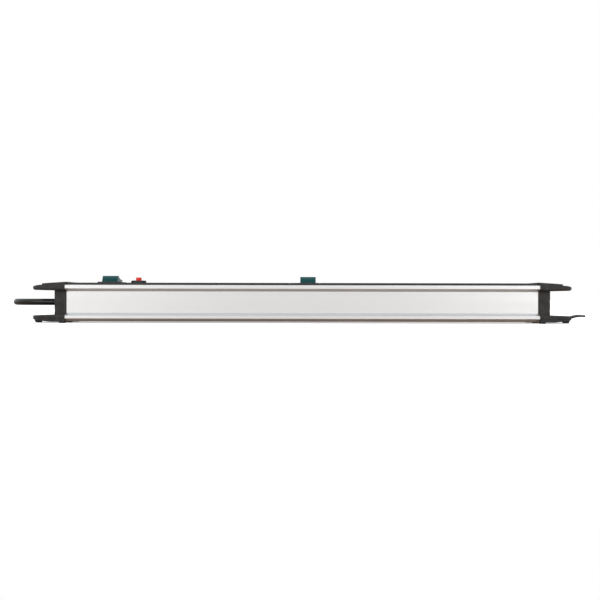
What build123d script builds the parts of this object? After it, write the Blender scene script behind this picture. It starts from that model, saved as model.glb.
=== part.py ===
from build123d import *
import math
import os

# A long power strip in an aluminium profile: ten earthed sockets, two rocker switches and a
# thermal breaker with a reset button. The cord winds lengthwise into the profile's waist, and
# the wings of the end caps keep it there. Sizes are in millimetres. X runs along the strip,
# with the cord at the -X end, -Y is the front and +Z is up. The feet stand on Z = 0.

# Aluminium profile: the heights of its bands, from the bottom edge up
profile_width = 72.0
profile_wall = 1.8
profile_bottom_z = 2.15
lower_bevel_height = 3.85
lower_bevel_depth = 4.5
lower_lip_height = 3.65
lower_slope_height = 3.4
waist_height = 27.4
waist_depth = 8.0
upper_slope_height = 3.35
upper_lip_height = 4.5
mouth_width = 60.0
port_radius = 2.8
port_bore_radius = 1.55
port_sink = 0.8
port_heights = (16.0, 29.0)

# Covers and modules that stand in the profile's mouth
cover_thickness = 3.0
cover_width = 67.0
cover_chamfer = 0.5
module_gap = 0.2
cover_play = 0.3
blank_length = 37.9
left_switch_length = 64.3
middle_switch_length = 38.5
end_cover_length = 6.2
blocks_in_a = 2
blocks_in_b = 3
hook_width = 8.0
hook_thickness = 1.5
hook_reach = 1.6
hook_height = 2.0
hook_clearance = 0.3
hook_inset = 10.0
skirt_width = 50.0
skirt_depth = 6.0

# Earthed sockets, two to a block, turned by 45 degrees
socket_land = 3.8
recess_radius = 19.75
recess_depth = 17.5
cup_wall = 1.55
cup_floor = 2.0
rib_depth = 2.3
rib_width = 5.2
rib_top_gap = 1.0
pin_spacing = 19.0
pin_hole_radius = 2.7
socket_turn = 45.0
mouth_chamfer = 0.8
boss_radius = 3.2
boss_offset = 14.5

# Socket bases and the brass in them
base_width = 36.0
base_height = 18.3
base_end_gap = 1.0
sleeve_radius = 3.5
sleeve_bore_radius = 2.45
sleeve_clearance = 0.2
sleeve_length = 10.0
sleeve_top_gap = 5.8
rail_thickness = 1.0
rail_height = 8.0
rail_overlap = 0.6
rail_clearance = 0.1
rail_stub = 8.0
short_stub = 2.6
earth_rail_width = 5.0
earth_rail_thickness = 1.0
clip_thickness = 0.8
clip_width = 5.0
clip_reach = 20.3
clip_height = 14.1
clip_bow = 2.9
clip_bow_height = 9.0
clip_tip_flare = 1.2
clip_tip_height = 5.0
clip_shoulder_flare = 0.8
clip_shoulder_drop = 2.0
window_clearance = 0.5

# Rocker switches
bezel_margin = 3.3
left_bezel_height = 1.5
middle_bezel_height = 0.5
bezel_width_left = 30.0
bezel_width_middle = 26.7
bezel_corner = 2.5
bezel_chamfer = 0.3
frame_wall = 1.4
frame_floor = 2.0
frame_fit = 0.1
lug_reach = 1.0
lug_height = 3.0
rocker_width = 20.0
rocker_end_radius = 13.5
rocker_crest = 10.5
rocker_travel = 26.0
rocker_wall = 1.5
rocker_dish = 1.6
rocker_edge = 0.9
rocker_clearance = 0.3
rocker_skirt_angle = 100.0
pivot_above_bezel = -2.5
trunnion_radius = 1.5
trunnion_length = 1.2
trunnion_clearance = 0.05
pole_offset = 5.0
plunger_radius = 1.2
plunger_reach = 12.2
arm_length = 16.0
arm_width = 4.0
arm_thickness = 0.8
arm_travel = 16.0
arm_drop = 13.2
arm_bead_radius = 0.9
saddle_gap = 0.5
saddle_length = 4.0
pad_clearance = 0.34
pad_length = 3.0
terminal_width = 4.8
terminal_thickness = 0.8
terminal_length = 8.0
frame_depth = 17.5
lamp_radius = 2.1
lamp_length = 9.0
lamp_lead_radius = 0.4
lamp_offset = 6.0
lamp_rise = 1.5

# Thermal breaker with its reset button
breaker_length = 14.0
breaker_width = 30.0
breaker_height = 24.6
breaker_neck_radius = 5.5
breaker_neck_fit = 0.1
collar_radius = 9.85
collar_height = 3.4
collar_chamfer = 0.8
button_radius = 3.6
button_rise = 4.0
button_clearance = 0.1
collar_mouth_clearance = 0.4
button_flange_radius = 4.6
button_flange_height = 2.0
button_travel = 2.8
button_chamfer = 0.5
chamber_radius = 4.8
spring_pressed_length = 6.5
chamber_roof = 1.1
spring_radius = 3.6
spring_wire_radius = 0.35
spring_turns = 5
breaker_tab_offset = 6.0
breaker_tab_sink = 3.0
switch_left_x = 11.6
breaker_x = 46.2
switch_middle_x = 23.7

# End caps, with their wings
cap_proud = 0.5
cap_lap = 1.9
collar_length = 3.0
neck_length = 16.0
neck_wall = 3.0
neck_edge = 3.0
neck_proud = 0.3
wing_length = 50.2
wing_straight = 16.0
plate_length = 29.6
plate_step = 1.7
plate_top_rise = 0.95
plate_end_drop = 2.05
upper_wing_low_z = 41.35
upper_tip_z = 44.25
upper_tip_radius = 2.0
wing_crown = 0.5
lower_wing_top_z = 10.55
lower_tip_z = 7.0
lower_tip_radius = 2.3
wing_belly = 0.4
wing_bevel = 1.8
wing_groove_depth = 0.6
wing_groove_height = 0.6
cap_bottom_z = profile_bottom_z - cap_proud
cap_cavity_width = 40.0
cap_cavity_low_z = 14.0
cap_cavity_high_z = 38.0
tongue_length = 10.0
tongue_width = 44.0
tongue_thickness = 2.5
tongue_gap = 0.2

# Fasteners
cap_screw_radius = 1.5
cap_screw_length = 22.0
cap_screw_hole_radius = 1.7
base_screw_radius = 1.4
base_screw_grip = 10.0
clamp_screw_radius = 1.4
screw_head_radius = 3.0
screw_head_height = 2.0
head_sink = 2.5
head_clearance = 0.3
thread_clearance = 0.05
slot_width = 0.9
slot_depth = 0.9

# Feet and hanging eye
foot_radius = 4.3
foot_stem_radius = 2.0
foot_stem_length = 2.8
foot_stem_play = 0.2
foot_edge = 0.4
foot_inset = 5.0
foot_row = 29.0
tip_foot_reach = 44.9
foot_boss_radius = 5.2
eye_thickness = 2.6
eye_tail_width = 12.0
eye_tail_length = 10.0
eye_radius = 8.0
eye_reach = 20.0
eye_hole_radius = 2.6
eye_rise = 2.4
eye_end_rise = 2.0
eye_fit = 0.05

# Cord, gland and clamp
cord_radius = 4.2
cord_z = 26.65
grommet_radius = 6.2
grommet_flange_radius = 8.0
grommet_flange_height = 1.2
grommet_fit = 0.1
plug_dent_radius = 4.0
plug_dent_depth = 0.6
clamp_length = 10.0
clamp_width = 24.0
clamp_height = 10.2
clamp_inset = 6.0
clamp_fit = 0.05
clamp_screw_offset = 8.5
shelf_length = 17.0
shelf_width = 28.0
shelf_thickness = 3.0
inner_cord_reach = 20.0
wire_radius = 1.3
wire_bend = 3.0
wire_gap = 0.25
core_spread = 1.5
lane = 4.0

# Where each wire bends, from the end of the sheath, the pole or the rail that it leaves
live_core_bends = (7.0, 14.0)
neutral_core_bends = (6.0, 11.0)
earth_core_bends = (10.0, 16.0, 20.0)
neutral_pole_bends = (6.0, 7.0)
breaker_pass = 2.0
live_middle_bend = 1.0
neutral_middle_bend = 7.5
live_onward_bends = (5.0, 7.0)
neutral_onward_bends = (5.5, 12.5)
earth_switch_bends = (8.0, 20.0)
earth_onward_bends = (5.0, 3.0)
earth_wire_lift = 3.6

# Free cord: its route by hand, then the coil and the plug that lie behind the strip
coil_center = (-199.0, 132.7)
coil_outer_radius = 66.0
coil_tracks = 4.5
coil_layers = 2
cord_route = [
    (-326.0, 0.0, 26.65),
    (-368.4, 0.0, 26.65),
    (-400.2, 31.8, 26.65),
    (-400.2, 76.8, 26.65),
    (-368.4, 108.6, 26.65),
    (-324.0, 108.6, 26.65),
    (-282.0, 96.0, 4.2),
    (-242.0, 76.5, 4.2),
    (-199.0, 66.7, 4.2),
]
tail_route = [
    (-199.0, 66.7, 12.6),
    (-157.0, 67.6, 13.2),
    (-115.0, 76.0, 17.0),
    (-75.0, 83.0, 18.7),
    (-39.0, 83.0, 18.7),
]
arc_share = 0.45
plug_radius = 18.7
plug_front_length = 17.0
plug_grip_radius = 13.0
plug_grip_length = 21.0
plug_neck_radius = 8.0
plug_edge = 1.2
plug_pin_radius = 2.4
plug_pin_length = 19.0
plug_pin_sink = 12.0
plug_pin_edge = 1.0
plug_earth_hole_radius = 3.0
plug_earth_hole_offset = 10.0
plug_earth_hole_depth = 12.0
earth_slot_width = 7.0
earth_slot_depth = 2.0
earth_contact_thickness = 0.8
earth_contact_clearance = 0.5
earth_slot_inset = 1.0
boot_length = 24.0
boot_tip_radius = 5.6
boot_root_radius = 7.0
boot_groove = 0.9
boot_grooves = 4

# Heights and stations that follow from the sizes above
lower_lip_z = profile_bottom_z + lower_bevel_height
lower_slope_z = lower_lip_z + lower_lip_height
waist_low_z = lower_slope_z + lower_slope_height
waist_high_z = waist_low_z + waist_height
upper_lip_z = waist_high_z + upper_slope_height
profile_top_z = upper_lip_z + upper_lip_height
cover_top_z = profile_top_z + cover_thickness
profile_half_width = profile_width / 2
waist_half_width = profile_half_width - waist_depth
socket_pitch = 2 * (recess_radius + mouth_chamfer) + socket_land
block_length = 2 * socket_pitch
blocks_a_length = blocks_in_a * block_length
blocks_b_length = blocks_in_b * block_length
switches_length = left_switch_length + middle_switch_length
covers_length = blank_length + switches_length + blocks_a_length + blocks_b_length + end_cover_length
profile_length = covers_length + cover_play + 2 * cap_lap
profile_end = profile_length / 2
port_y = waist_half_width - profile_wall - port_radius + port_sink
neck_end = profile_end + neck_length
tip_end = profile_end + wing_length
eye_hole_x = tip_end + eye_reach - eye_radius
strip_shift = -eye_reach / 2

cap_inner_end = profile_end - cap_lap
blank_x = -cap_inner_end - module_gap / 2
left_switch_x0 = blank_x + blank_length
blocks_a_x = left_switch_x0 + left_switch_length
middle_switch_x0 = blocks_a_x + blocks_a_length
blocks_b_x = middle_switch_x0 + middle_switch_length
end_cover_x = blocks_b_x + blocks_b_length
block_starts = [blocks_a_x + i * block_length for i in range(blocks_in_a)]
block_starts += [blocks_b_x + i * block_length for i in range(blocks_in_b)]
socket_inset = (block_length - socket_pitch) / 2

recess_floor_z = cover_top_z - recess_depth
base_top_z = recess_floor_z - cup_floor
base_bottom_z = base_top_z - base_height
cup_radius = recess_radius + cup_wall
pin_offset = pin_spacing / 2 * math.sin(math.radians(socket_turn))
sleeve_top_z = base_top_z - sleeve_top_gap
rail_y = pin_offset + sleeve_radius - rail_overlap
rail_low_z = sleeve_top_z - rail_height
earth_rail_z = base_top_z - clip_thickness - earth_rail_thickness

rocker_half_travel = rocker_travel / 2
frame_inner_x = rocker_width / 2 + rocker_clearance
frame_inner_y = rocker_end_radius + rocker_clearance
frame_outer_x = frame_inner_x + frame_wall
frame_outer_y = frame_inner_y + frame_wall
pivot_left_z = cover_top_z + left_bezel_height + pivot_above_bezel
pivot_middle_z = cover_top_z + middle_bezel_height + pivot_above_bezel
rocker_left_x = left_switch_x0 + switch_left_x
rocker_middle_x = middle_switch_x0 + switch_middle_x
button_x = left_switch_x0 + breaker_x

breaker_top_z = profile_top_z
breaker_bottom_z = breaker_top_z - breaker_height
neck_top_z = cover_top_z + collar_height - collar_chamfer
chamber_top_z = breaker_top_z - chamber_roof
flange_top_z = chamber_top_z - 2 * button_clearance
flange_low_z = flange_top_z - button_flange_height
chamber_low_z = flange_low_z - button_travel - spring_pressed_length

rail_a_low = blocks_a_x - rail_stub
rail_a_high = middle_switch_x0 + rail_stub
rail_b_low = blocks_b_x - short_stub
rail_b_high = end_cover_x - base_end_gap
sheath_end = -profile_end + inner_cord_reach
wire_z = profile_bottom_z + profile_wall + wire_radius + wire_gap
pad_y = arm_length / 2
left_tab_z = pivot_left_z - frame_depth - frame_floor - terminal_length
middle_tab_z = pivot_middle_z - frame_depth - frame_floor - terminal_length
breaker_tab_z = breaker_bottom_z - terminal_length

plug_start_x = tail_route[-1][0] + boot_length
plug_face_x = plug_start_x + plug_grip_length + plug_front_length


def bar(x_low, x_high, y_low, y_high, z_low, z_high):
    """A block between six planes."""
    center = Pos((x_low + x_high) / 2, (y_low + y_high) / 2, (z_low + z_high) / 2)
    return center * Box(x_high - x_low, y_high - y_low, z_high - z_low)


def post(radius, z_low, z_high, x=0.0, y=0.0):
    """An upright cylinder."""
    return Pos(x, y, (z_low + z_high) / 2) * Cylinder(radius, z_high - z_low)


def rod(radius, x_low, x_high, y=0.0, z=0.0):
    """A cylinder along X."""
    turned = Rot(0, 90, 0) * Cylinder(radius, x_high - x_low)
    return Pos((x_low + x_high) / 2, y, z) * turned


def group(solids):
    """Separate solids that share one node."""
    return Compound(list(solids))


def swept(route, radii, radius):
    """A round tube along straight runs joined by tangent arcs."""
    path = FilletPolyline(*route, radius=radii)
    section = Plane(path @ 0, z_dir=path % 0) * Circle(radius)
    return sweep(section, path=path)


def profile_outline():
    """The outside of the profile's section, as Y and Z."""
    right = [
        (profile_half_width - lower_bevel_depth, profile_bottom_z),
        (profile_half_width, lower_lip_z),
        (profile_half_width, lower_slope_z),
        (waist_half_width, waist_low_z),
        (waist_half_width, waist_high_z),
        (profile_half_width, upper_lip_z),
        (profile_half_width, profile_top_z),
    ]
    left = [(-y, z) for y, z in reversed(right)]
    return make_face(Polyline(*right, *left, close=True))


def along_x(face, x_low, x_high):
    """Extrudes a Y-Z face between two stations."""
    return extrude(Plane.YZ.offset(x_low) * face, amount=x_high - x_low)


def aluminium_profile():
    outline = profile_outline()
    cavity = offset(outline, amount=-profile_wall, kind=Kind.INTERSECTION)
    mouth = Pos(0, profile_top_z - profile_wall / 2) * Rectangle(mouth_width, 2 * profile_wall)
    section = outline - cavity - mouth
    spots = [Pos(side * port_y, z) for side in (-1, 1) for z in port_heights]
    for spot in spots:
        section = section + spot * Circle(port_radius)
    for spot in spots:
        section = section - spot * Circle(port_bore_radius)
    return along_x(section, -profile_end, profile_end)


def hooks(x_low, x_high):
    """Snap hooks that reach under the profile's lips, two to a side."""
    outer = mouth_width / 2 - hook_clearance
    high = profile_top_z - profile_wall - hook_clearance
    inset = min(hook_inset, (x_high - x_low) / 2)
    made = []
    for side in (-1, 1):
        for x in sorted({x_low + inset, x_high - inset}):
            left, right = x - hook_width / 2, x + hook_width / 2
            stem = sorted((side * (outer - hook_thickness), side * outer))
            barb = sorted((side * (outer - hook_thickness), side * (outer + hook_reach)))
            made.append(bar(left, right, *stem, high - hook_height, profile_top_z))
            made.append(bar(left, right, *barb, high - hook_height, high))
    return made


def cover_plate(x_low, length):
    """One module's cover plate on the profile's lips, with its hooks."""
    low, high = x_low + module_gap / 2, x_low + length - module_gap / 2
    half = cover_width / 2
    plate = bar(low, high, -half, half, profile_top_z, cover_top_z)
    plate = chamfer(plate.faces().sort_by(Axis.Z)[-1].edges(), cover_chamfer)
    for hook in hooks(low, high):
        plate = plate + hook
    return plate


def skirts(x_low, length):
    """Two stiffening ribs under a plain cover."""
    low, high = x_low + module_gap, x_low + length - module_gap
    made = []
    for side in (-1, 1):
        walls = sorted((side * skirt_width / 2, side * (skirt_width / 2 - hook_thickness)))
        made.append(bar(low, high, *walls, profile_top_z - skirt_depth, profile_top_z))
    return made


def blank_cover():
    cover = cover_plate(blank_x, blank_length)
    for rib in skirts(blank_x, blank_length):
        cover = cover + rib
    return cover


def end_cover():
    cover = bar(
        end_cover_x + module_gap / 2,
        end_cover_x + end_cover_length - module_gap / 2,
        -cover_width / 2,
        cover_width / 2,
        profile_top_z,
        cover_top_z,
    )
    cover = chamfer(cover.faces().sort_by(Axis.Z)[-1].edges(), cover_chamfer)
    for rib in skirts(end_cover_x, end_cover_length):
        cover = cover + rib
    return cover


def switch_opening(x):
    """The cut-out in a cover that a switch frame passes through."""
    half_x, half_y = frame_outer_x + frame_fit, frame_outer_y + frame_fit
    return bar(x - half_x, x + half_x, -half_y, half_y, profile_top_z - 1, cover_top_z + 1)


def left_switch_cover():
    cover = cover_plate(left_switch_x0, left_switch_length) - switch_opening(rocker_left_x)
    hole_radius = breaker_neck_radius + breaker_neck_fit
    return cover - post(hole_radius, profile_top_z - 1, cover_top_z + 1, button_x)


def middle_switch_cover():
    cover = cover_plate(middle_switch_x0, middle_switch_length)
    return cover - switch_opening(rocker_middle_x)


def socket_centers(block_start):
    """The two socket axes of a block."""
    first = block_start + socket_inset
    return (first, first + socket_pitch)


def at_socket(x, angle, solid):
    """Turns a solid about a socket's axis, then sets it there."""
    return Pos(x, 0, 0) * Rot(0, 0, angle) * solid


def socket_block(block_start):
    """Cover and two recessed cups, with guide ribs, pin holes and earth windows."""
    block = cover_plate(block_start, block_length)
    centers = socket_centers(block_start)
    for x in centers:
        block = block + post(cup_radius, base_top_z, profile_top_z + cup_floor, x)
    for y in (-boss_offset, boss_offset):
        block = block + post(boss_radius, base_top_z, profile_top_z, sum(centers) / 2, y)
    for x in centers:
        block = block - post(recess_radius, recess_floor_z, cover_top_z + 1, x)
    block = chamfer(recess_rims(block), mouth_chamfer)
    for x in centers:
        for turn in (0, 180):
            block = block + at_socket(x, socket_turn + turn, guide_rib())
            block = block - at_socket(x, -socket_turn + turn, earth_window())
            hole = post(pin_hole_radius, base_top_z - 1, recess_floor_z + 1, pin_spacing / 2)
            block = block - at_socket(x, socket_turn + turn, hole)
    for y in (-boss_offset, boss_offset):
        reach = base_screw_grip + thread_clearance
        pilot_radius = base_screw_radius + thread_clearance
        pilot = post(pilot_radius, base_top_z - 1, base_top_z + reach, sum(centers) / 2, y)
        block = block - pilot
    return block


def recess_rims(block):
    """The round edges where the recesses open in the cover."""
    circles = block.edges().filter_by(GeomType.CIRCLE)
    rims = circles.filter_by(lambda edge: abs(edge.radius - recess_radius) < 0.001)
    return rims.filter_by(lambda edge: abs(edge.center().Z - cover_top_z) < 0.001)


def guide_rib():
    reach = recess_radius + cup_wall / 2
    low = recess_floor_z - cup_floor / 2
    top = cover_top_z - mouth_chamfer - rib_top_gap
    half = rib_width / 2
    return bar(recess_radius - rib_depth, reach, -half, half, low, top)


def earth_window():
    half = clip_width / 2 + window_clearance
    low = clip_reach - clip_thickness / 2 - window_clearance
    top = base_top_z + clip_height + 2 * window_clearance
    return bar(low, cup_radius + 1, -half, half, base_top_z - 1, top)


def socket_base(block_start):
    """The carrier under a block, with bores and slots for the brass."""
    low = block_start + base_end_gap
    high = block_start + block_length - base_end_gap
    half = base_width / 2
    base = bar(low, high, -half, half, base_bottom_z, base_top_z)
    slot = rail_clearance
    for side in (-1, 1):
        walls = sorted((side * (rail_y - slot), side * (rail_y + rail_thickness + slot)))
        base = base - bar(low - 1, high + 1, *walls, base_bottom_z - 1, sleeve_top_z)
    groove = earth_rail_width / 2 + rail_clearance
    base = base - bar(low - 1, high + 1, -groove, groove, earth_rail_z, base_top_z + 1)
    for x in socket_centers(block_start):
        for turn in (0, 180):
            base = base - at_socket(x, socket_turn + turn, pin_bore())
            base = base - at_socket(x, turn - socket_turn, strap_groove())
    middle = sum(socket_centers(block_start)) / 2
    for y in (-boss_offset, boss_offset):
        radius = base_screw_radius + thread_clearance
        base = base - post(radius, base_bottom_z - 1, base_top_z + 1, middle, y)
        head = screw_head_radius + head_clearance
        base = base - post(head, base_bottom_z - 1, base_bottom_z + head_sink, middle, y)
    return base


def pin_bore():
    """A stepped bore for a contact sleeve, with the pin's own hole above it."""
    low = sleeve_top_z - sleeve_length
    wide = post(sleeve_radius + sleeve_clearance, low, sleeve_top_z, pin_spacing / 2)
    return wide + post(pin_hole_radius, low, base_top_z + 1, pin_spacing / 2)


def strap_groove():
    reach = clip_reach + clip_thickness / 2 + window_clearance
    half = clip_width / 2 + rail_clearance
    return bar(-0.01, reach, -half, half, base_top_z - clip_thickness, base_top_z + 1)


def base_screws():
    """Two screws up through each base into the bosses of its block."""
    screws = []
    for start in block_starts:
        middle = sum(socket_centers(start)) / 2
        for y in (-boss_offset, boss_offset):
            head_top = base_bottom_z + head_sink
            shank = post(base_screw_radius, head_top, base_top_z + base_screw_grip, middle, y)
            head = post(screw_head_radius, head_top - screw_head_height, head_top, middle, y)
            screws.append(shank + head)
    return group(screws)


def contact_rail(x_low, x_high, starts, side):
    """A brass strip with a contact sleeve at each socket. side is -1 for live, 1 for neutral."""
    walls = sorted((side * rail_y, side * (rail_y + rail_thickness)))
    rail = bar(x_low, x_high, *walls, rail_low_z, sleeve_top_z)
    spots = [x + side * pin_offset for start in starts for x in socket_centers(start)]
    sleeve_low = sleeve_top_z - sleeve_length
    for x in spots:
        rail = rail + post(sleeve_radius, sleeve_low, sleeve_top_z, x, side * pin_offset)
    for x in spots:
        bore = post(sleeve_bore_radius, sleeve_low - 1, sleeve_top_z + 1, x, side * pin_offset)
        rail = rail - bore
    return rail


def earth_rail(x_low, x_high):
    half = earth_rail_width / 2
    high = earth_rail_z + earth_rail_thickness
    return bar(x_low, x_high, -half, half, earth_rail_z, high)


def earth_clip(x):
    """A bent spring strip across one socket, with a bowed contact finger at each side."""
    low = base_top_z - clip_thickness / 2
    high = base_top_z + clip_height - clip_thickness / 2
    bowed = clip_reach - clip_bow
    finger = [
        (bowed + clip_tip_flare, low + clip_tip_height),
        (bowed, low + clip_bow_height),
        (bowed + clip_shoulder_flare, high - clip_shoulder_drop),
        (clip_reach, high),
        (clip_reach, low),
    ]
    mirrored = [(-r, z) for r, z in reversed(finger)]
    strip = trace(Polyline(*finger, *mirrored), clip_thickness)
    solid = extrude(Plane.XZ * strip, amount=clip_width / 2, both=True)
    return at_socket(x, -socket_turn, solid)


def earth_clips():
    return group(earth_clip(x) for start in block_starts for x in socket_centers(start))


def switch_frame(x, pivot_z, bezel_width, bezel_height):
    """A switch's bezel and box, with the rocker's bearing holes and the terminal slots."""
    half_y = frame_outer_y + bezel_margin
    bezel = bar(
        x - bezel_width / 2,
        x + bezel_width / 2,
        -half_y,
        half_y,
        cover_top_z,
        cover_top_z + bezel_height,
    )
    bezel = fillet(bezel.edges().filter_by(Axis.Z), bezel_corner)
    bezel = chamfer(bezel.faces().sort_by(Axis.Z)[-1].edges(), bezel_chamfer)
    left, right = x - frame_outer_x, x + frame_outer_x
    floor_z = pivot_z - frame_depth
    box_low = floor_z - frame_floor
    frame = bezel + bar(left, right, -frame_outer_y, frame_outer_y, box_low, cover_top_z + 0.1)
    for side in (-1, 1):
        lug = sorted((side * frame_outer_y, side * (frame_outer_y + lug_reach)))
        high = profile_top_z - hook_clearance
        low = high - lug_height
        frame = frame + bar(x - hook_width / 2, x + hook_width / 2, *lug, low, high)
    frame = frame - bar(
        x - frame_inner_x,
        x + frame_inner_x,
        -frame_inner_y,
        frame_inner_y,
        floor_z,
        cover_top_z + bezel_height + 1,
    )
    bearing = trunnion_radius + trunnion_clearance
    reach = frame_outer_x + 0.5
    frame = frame - rod(bearing, x - reach, x + reach, 0, pivot_z)
    for pole in (-pole_offset, pole_offset):
        for y in (0.0, arm_length / 2):
            frame = frame - terminal_tab(x + pole, y, box_low - 1, floor_z + 1)
    return frame


def terminal_tab(x, y, z_low, z_high):
    half_x, half_y = terminal_width / 2, terminal_thickness / 2
    return bar(x - half_x, x + half_x, y - half_y, y + half_y, z_low, z_high)


def switch_terminals(x, pivot_z):
    """Two poles, each with a saddle for its contact arm and a contact pad."""
    floor_z = pivot_z - frame_depth
    tab_low = floor_z - frame_floor - terminal_length
    arm_z = pivot_z - arm_drop
    tilt = math.radians(arm_travel / 2)
    pad_z = arm_z - arm_length / 2 * math.sin(tilt) - pad_clearance
    solids = []
    for pole in (-pole_offset, pole_offset):
        low, high = x + pole - arm_width / 2, x + pole + arm_width / 2
        saddle = bar(low, high, -saddle_length / 2, saddle_length / 2, floor_z, arm_z - saddle_gap)
        saddle = saddle - rod(arm_bead_radius + trunnion_clearance, low - 1, high + 1, 0, arm_z)
        solids.append(saddle + terminal_tab(x + pole, 0.0, tab_low, floor_z))
        y = arm_length / 2
        pad = bar(low, high, y - pad_length / 2, y + pad_length / 2, floor_z, pad_z)
        solids.append(pad + terminal_tab(x + pole, y, tab_low, floor_z))
    return group(solids)


def contact_arms(x, pivot_z):
    """Two see-saw contact arms, tilted to their rest, with the front end down."""
    arm_z = pivot_z - arm_drop
    arms = []
    for pole in (-pole_offset, pole_offset):
        low, high = pole - arm_width / 2, pole + arm_width / 2
        arm = bar(low, high, -arm_length / 2, arm_length / 2, 0, arm_thickness)
        arm = arm + rod(arm_bead_radius, low, high)
        arms.append(Pos(x, 0, arm_z) * Rot(arm_travel / 2, 0, 0) * arm)
    return group(arms)


def polar(radius, degrees_from_top):
    angle = math.radians(degrees_from_top)
    return (radius * math.sin(angle), radius * math.cos(angle))


def rocker_outline():
    """The rocker's side view about its pivot, level: round ends and a dished top."""
    raised = math.degrees(math.acos(rocker_crest / rocker_end_radius))
    corner_angle = raised + rocker_half_travel
    corner = polar(rocker_end_radius, corner_angle)
    middle = polar(rocker_end_radius, (corner_angle + rocker_skirt_angle) / 2)
    foot = polar(rocker_end_radius, rocker_skirt_angle)
    dish = (0, corner[1] - rocker_dish)
    top = ThreePointArc((-corner[0], corner[1]), dish, corner)
    right = ThreePointArc(corner, middle, foot)
    bottom = Line(foot, (-foot[0], foot[1]))
    left = ThreePointArc((-foot[0], foot[1]), (-middle[0], middle[1]), (-corner[0], corner[1]))
    face = make_face([top, right, bottom, left])
    return fillet(face.vertices().group_by(Axis.Y)[-1], rocker_edge)


def rocker(x, pivot_z):
    """A hollow rocker with its trunnions and two plungers, its front end raised."""
    outline = rocker_outline()
    half = rocker_width / 2
    shell = along_x(outline, -half, half)
    inner = offset(outline, amount=-rocker_wall, kind=Kind.INTERSECTION)
    inner_half = half - rocker_wall
    shell = shell - along_x(inner, -inner_half, inner_half)
    foot = polar(rocker_end_radius, rocker_skirt_angle)
    open_y = foot[0] - rocker_wall
    low, high = foot[1] - 1, foot[1] + 2 * rocker_wall
    shell = shell - bar(-inner_half, inner_half, -open_y, open_y, low, high)
    roof = shell.bounding_box().max.Z - rocker_dish - rocker_wall
    for pole in (-pole_offset, pole_offset):
        tip = plunger_radius - plunger_reach
        shell = shell + post(plunger_radius, tip, roof + rocker_wall / 2, pole)
        shell = shell + Pos(pole, 0, tip) * Sphere(plunger_radius)
    for side in (-1, 1):
        ends = sorted((side * (half - rocker_wall / 2), side * (half + trunnion_length)))
        shell = shell + rod(trunnion_radius, *ends)
    return Pos(x, 0, pivot_z) * Rot(-rocker_half_travel, 0, 0) * shell


def lamp(x, pivot_z):
    """A neon lamp that hangs in the rocker by its two leads."""
    reach = rocker_width / 2 - rocker_wall
    bulb = rod(lamp_radius, -lamp_length / 2, lamp_length / 2, -lamp_offset, lamp_rise)
    made = bulb + rod(lamp_lead_radius, -reach, reach, -lamp_offset, lamp_rise)
    return Pos(x, 0, pivot_z) * Rot(-rocker_half_travel, 0, 0) * made


def breaker_body():
    """A thermal breaker's case, its threaded neck and the chamber of its button."""
    half_x, half_y = breaker_length / 2, breaker_width / 2
    body = bar(-half_x, half_x, -half_y, half_y, breaker_bottom_z, breaker_top_z)
    body = body + post(breaker_neck_radius, breaker_top_z, neck_top_z)
    body = body - post(button_radius + button_clearance, chamber_top_z - 1, neck_top_z + 1)
    body = body - post(chamber_radius, chamber_low_z, chamber_top_z)
    for y in (-breaker_tab_offset, breaker_tab_offset):
        body = body - terminal_tab(0, y, breaker_bottom_z - 1, breaker_bottom_z + breaker_tab_sink)
    return Pos(button_x, 0, 0) * body


def breaker_collar():
    """The round nut that clamps the breaker to the cover."""
    collar = post(collar_radius, cover_top_z, cover_top_z + collar_height)
    collar = chamfer(collar.faces().sort_by(Axis.Z)[-1].edges(), collar_chamfer)
    bore = breaker_neck_radius + thread_clearance
    collar = collar - post(bore, cover_top_z - 1, neck_top_z)
    mouth = button_radius + collar_mouth_clearance
    collar = collar - post(mouth, neck_top_z - 1, cover_top_z + collar_height + 1)
    return Pos(button_x, 0, 0) * collar


def breaker_terminals():
    top = breaker_bottom_z + breaker_tab_sink
    low = breaker_bottom_z - terminal_length
    return group(
        terminal_tab(button_x, y, low, top) for y in (-breaker_tab_offset, breaker_tab_offset)
    )


def reset_button():
    top = cover_top_z + collar_height + button_rise
    button = post(button_radius, flange_low_z, top)
    button = fillet(button.faces().sort_by(Axis.Z)[-1].edges(), button_chamfer)
    button = button + post(button_flange_radius, flange_low_z, flange_top_z)
    return Pos(button_x, 0, 0) * button


def reset_spring():
    """The coil spring between the chamber's floor and the button's flange."""
    low = chamber_low_z + spring_wire_radius
    high = flange_low_z - spring_wire_radius
    path = Pos(0, 0, low) * Helix((high - low) / spring_turns, high - low, spring_radius)
    wire = sweep(Plane(path @ 0, z_dir=path % 0) * Circle(spring_wire_radius), path=path)
    return Pos(button_x, 0, 0) * wire


def upper_wing_face():
    """The upper wing's side view: X and Z, with its raised plate and round tip."""
    plate_x = profile_end + plate_length
    start_z = cover_top_z + plate_top_rise
    plate_z = start_z - plate_end_drop
    shelf_z = plate_z - plate_step
    tip_x = tip_end - upper_tip_radius
    tip_low = (tip_x, upper_tip_z - upper_tip_radius)
    tip_high = (tip_x, upper_tip_z + upper_tip_radius)
    crown = ((plate_x + tip_x) / 2, (shelf_z + tip_high[1]) / 2 + wing_crown)
    return make_face(
        [
            Line((profile_end, upper_wing_low_z), tip_low),
            ThreePointArc(tip_low, (tip_end, upper_tip_z), tip_high),
            ThreePointArc(tip_high, crown, (plate_x, shelf_z)),
            Polyline(
                (plate_x, shelf_z),
                (plate_x, plate_z),
                (profile_end - cap_lap, start_z),
                (profile_end - cap_lap, profile_top_z),
                (profile_end, profile_top_z),
                (profile_end, upper_wing_low_z),
            ),
        ]
    )


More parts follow.
